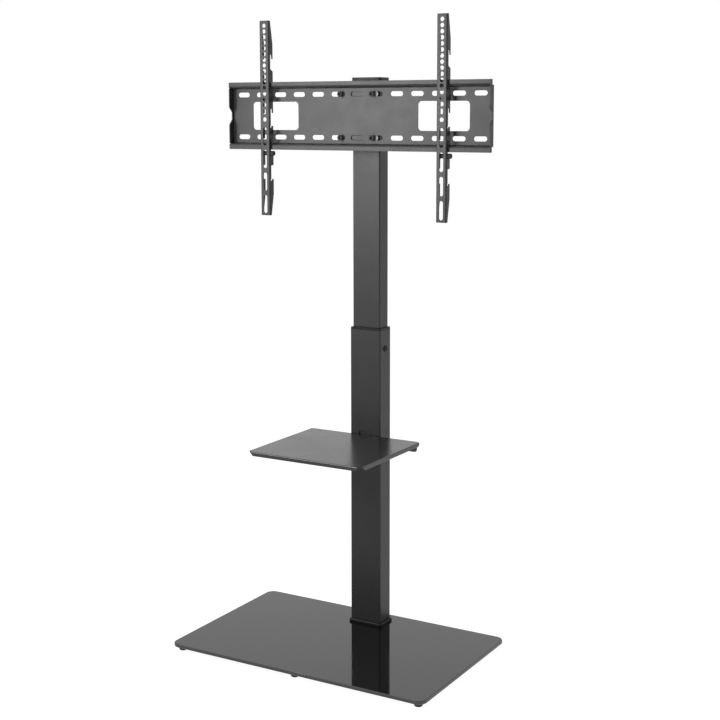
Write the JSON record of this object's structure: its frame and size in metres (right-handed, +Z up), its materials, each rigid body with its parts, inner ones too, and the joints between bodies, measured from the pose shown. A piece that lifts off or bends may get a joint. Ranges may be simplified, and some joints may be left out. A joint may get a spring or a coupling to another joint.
{
  "type": "tv stand with mount",
  "caption": "Floor stand for a flat screen: glass foot, telescoping column, small media shelf and a slotted mount plate with two hook-on screen arms.",
  "frame": {"origin": "on the floor, under the middle of the stand's overall outline", "axes": "+Z up along the column, -Y towards the screen, X along the mount plate"},
  "size_m": [0.661, 0.4, 1.4015],
  "materials": {
    "black_glass": "black tempered glass, opaque, polished",
    "black_coat": "satin black powder coat, fine texture",
    "shelf_coat": "gloss black coat",
    "moulded_black": "fine matt moulding",
    "foot_rubber": "matt",
    "pad_rubber": "matt",
    "black_bolt": "black oxide steel",
    "zinc_steel": "bright zinc plate",
    "bare_steel": "oiled steel"
  },
  "bodies": {
    "stand": {"glass_base": "black_glass", "feet": "foot_rubber", "under_plate": "zinc_steel", "under_pad": "pad_rubber", "base_bolts": "zinc_steel", "column_pad": "pad_rubber", "foot_block": "bare_steel", "collar": "moulded_black", "lower_tube": "black_coat", "tube_liner": "moulded_black", "height_screws": "black_bolt", "shelf": "shelf_coat", "shelf_bracket": "black_coat", "shelf_nuts": "zinc_steel", "shelf_lock_screw": "black_bolt"},
    "head": {"upper_tube": "black_coat", "tube_guide": "moulded_black", "top_cap": "moulded_black", "head_bracket": "black_coat", "bracket_bolts": "black_bolt", "bracket_nuts": "zinc_steel", "mount_plate": "black_coat", "plate_bolts": "black_bolt", "plate_washers": "zinc_steel", "plate_nuts": "zinc_steel"},
    "left_upright": {"left_arm": "black_coat", "left_lock_bolt": "black_bolt", "left_lock_sleeve": "moulded_black", "left_lock_nut": "zinc_steel"},
    "right_upright": {"right_arm": "black_coat", "right_lock_bolt": "black_bolt", "right_lock_sleeve": "moulded_black", "right_lock_nut": "zinc_steel"}
  },
  "joints": [
    {"name": "column_height", "type": "slide", "parent": "stand", "child": "head", "axis": [0, 0, 1], "range_m": [-0.2, 0.12]},
    {"name": "left_arm_slide", "type": "slide", "parent": "head", "child": "left_upright", "axis": [-1, 0, 0], "range_m": [-0.155, 0.088]},
    {"name": "right_arm_slide", "type": "slide", "parent": "head", "child": "right_upright", "axis": [1, 0, 0], "range_m": [-0.15, 0.094]}
  ]
}
